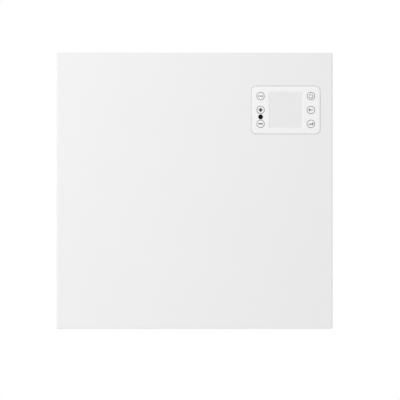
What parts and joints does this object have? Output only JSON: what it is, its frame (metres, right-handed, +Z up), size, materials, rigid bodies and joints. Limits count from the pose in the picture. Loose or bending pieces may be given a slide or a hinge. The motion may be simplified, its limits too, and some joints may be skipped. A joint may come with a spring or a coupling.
{
  "type": "convector heater",
  "caption": "Wall-hung convector heater: flat square front over a shallow casing, inset keypad with display, louvred top outlet, slotted intake, finned element, wall bracket.",
  "frame": {"origin": "on the wall plane, at the centre of the wall bracket's four screw slots", "axes": "+Z up, +X to the right seen from the room, -Y out into the room, +Y into the wall"},
  "size_m": [0.43, 0.0858, 0.43],
  "materials": {
    "panel_paint": "satin powder coat",
    "casing_paint": "satin powder coat",
    "pad_plastic": "fine satin",
    "key_plastic": "fine satin",
    "window_clear": "gloss, light grey",
    "display_grey": "matte",
    "lens_dark": "gloss",
    "black_plastic": "fine grain",
    "white_plastic": "fine grain",
    "grey_plastic": "fine grain",
    "board_green": "solder resist",
    "relay_blue": "moulded",
    "film_yellow": "moulded",
    "terminal_green": "moulded",
    "zinc_steel": "zinc plated",
    "bracket_steel": "galvanised",
    "brass": "plain",
    "fin_aluminium": "extruded",
    "rod_steel": "sheathed",
    "bush_ceramic": "matte",
    "rubber_black": "matte",
    "sleeve_white": "silicone",
    "lead_blue": "insulated",
    "lead_brown": "insulated",
    "lead_earth": "insulated, green and yellow",
    "ribbon_grey": "flat cable"
  },
  "bodies": {
    "heater": {"front_panel": "panel_paint", "rear_casing": "casing_paint", "panel_screws": "zinc_steel", "outlet_grille": "white_plastic", "intake_grille": "casing_paint", "grille_screws": "zinc_steel", "back_rivets": "zinc_steel", "wall_bracket": "bracket_steel", "control_bezel": "pad_plastic", "display_window": "window_clear", "display_module": "display_grey", "eye_lens": "lens_dark", "eye_receiver": "black_plastic", "key_switches": "black_plastic", "control_board": "board_green", "control_housing": "white_plastic", "control_screws": "zinc_steel", "bezel_clamps": "zinc_steel", "partition": "zinc_steel", "lead_grommet": "rubber_black", "heat_shield": "zinc_steel", "heating_element": "fin_aluminium", "element_rod": "rod_steel", "element_bush_left": "bush_ceramic", "element_bush_right": "bush_ceramic", "element_holder_left": "zinc_steel", "element_holder_right": "zinc_steel", "thermal_cutout": "rod_steel", "board_standoffs": "brass", "supply_board": "board_green", "board_screws": "zinc_steel", "relay": "relay_blue", "transformer": "black_plastic", "capacitor": "film_yellow", "board_terminals": "terminal_green", "mains_terminal": "white_plastic", "earth_stud": "brass", "entry_cover": "casing_paint", "cord_gland": "white_plastic", "gland_nut": "white_plastic", "room_sensor": "white_plastic", "switch_body": "black_plastic", "board_sockets": "white_plastic", "control_ribbon": "ribbon_grey", "chamber_leads": "sleeve_white", "neutral_lead": "lead_blue", "live_leads": "lead_brown", "earth_lead": "lead_earth", "sensor_lead": "rubber_black"},
    "key_menu": {"key_menu": "key_plastic"},
    "key_plus": {"key_plus": "key_plastic"},
    "key_minus": {"key_minus": "key_plastic"},
    "key_power": {"key_power": "key_plastic"},
    "key_back": {"key_back": "key_plastic"},
    "key_level": {"key_level": "key_plastic"},
    "rocker": {"switch_rocker": "black_plastic"},
    "latch_left": {"latch_left": "grey_plastic"},
    "latch_right": {"latch_right": "grey_plastic"}
  },
  "joints": [
    {"name": "key_menu_press", "type": "slide", "parent": "heater", "child": "key_menu", "axis": [0, 1, 0], "range_m": [0, 0.0006], "stiffness_N_per_m": 1000, "springref_m": -0.0005},
    {"name": "key_plus_press", "type": "slide", "parent": "heater", "child": "key_plus", "axis": [0, 1, 0], "range_m": [0, 0.0006], "stiffness_N_per_m": 1000, "springref_m": -0.0005},
    {"name": "key_minus_press", "type": "slide", "parent": "heater", "child": "key_minus", "axis": [0, 1, 0], "range_m": [0, 0.0006], "stiffness_N_per_m": 1000, "springref_m": -0.0005},
    {"name": "key_power_press", "type": "slide", "parent": "heater", "child": "key_power", "axis": [0, 1, 0], "range_m": [0, 0.0006], "stiffness_N_per_m": 1000, "springref_m": -0.0005},
    {"name": "key_back_press", "type": "slide", "parent": "heater", "child": "key_back", "axis": [0, 1, 0], "range_m": [0, 0.0006], "stiffness_N_per_m": 1000, "springref_m": -0.0005},
    {"name": "key_level_press", "type": "slide", "parent": "heater", "child": "key_level", "axis": [0, 1, 0], "range_m": [0, 0.0006], "stiffness_N_per_m": 1000, "springref_m": -0.0005},
    {"name": "rocker_tilt", "type": "hinge", "parent": "heater", "child": "rocker", "pos_m": [0.203, -0.0455, -0.15], "axis": [0, -1, 0], "range_deg": [0, 18]},
    {"name": "latch_left_turn", "type": "hinge", "parent": "heater", "child": "latch_left", "pos_m": [-0.06, -0.0115, 0.16], "axis": [0, 0, -1], "range_deg": [0, 90]},
    {"name": "latch_right_turn", "type": "hinge", "parent": "heater", "child": "latch_right", "pos_m": [0.06, -0.0115, 0.16], "axis": [0, 0, 1], "range_deg": [0, 90]}
  ]
}
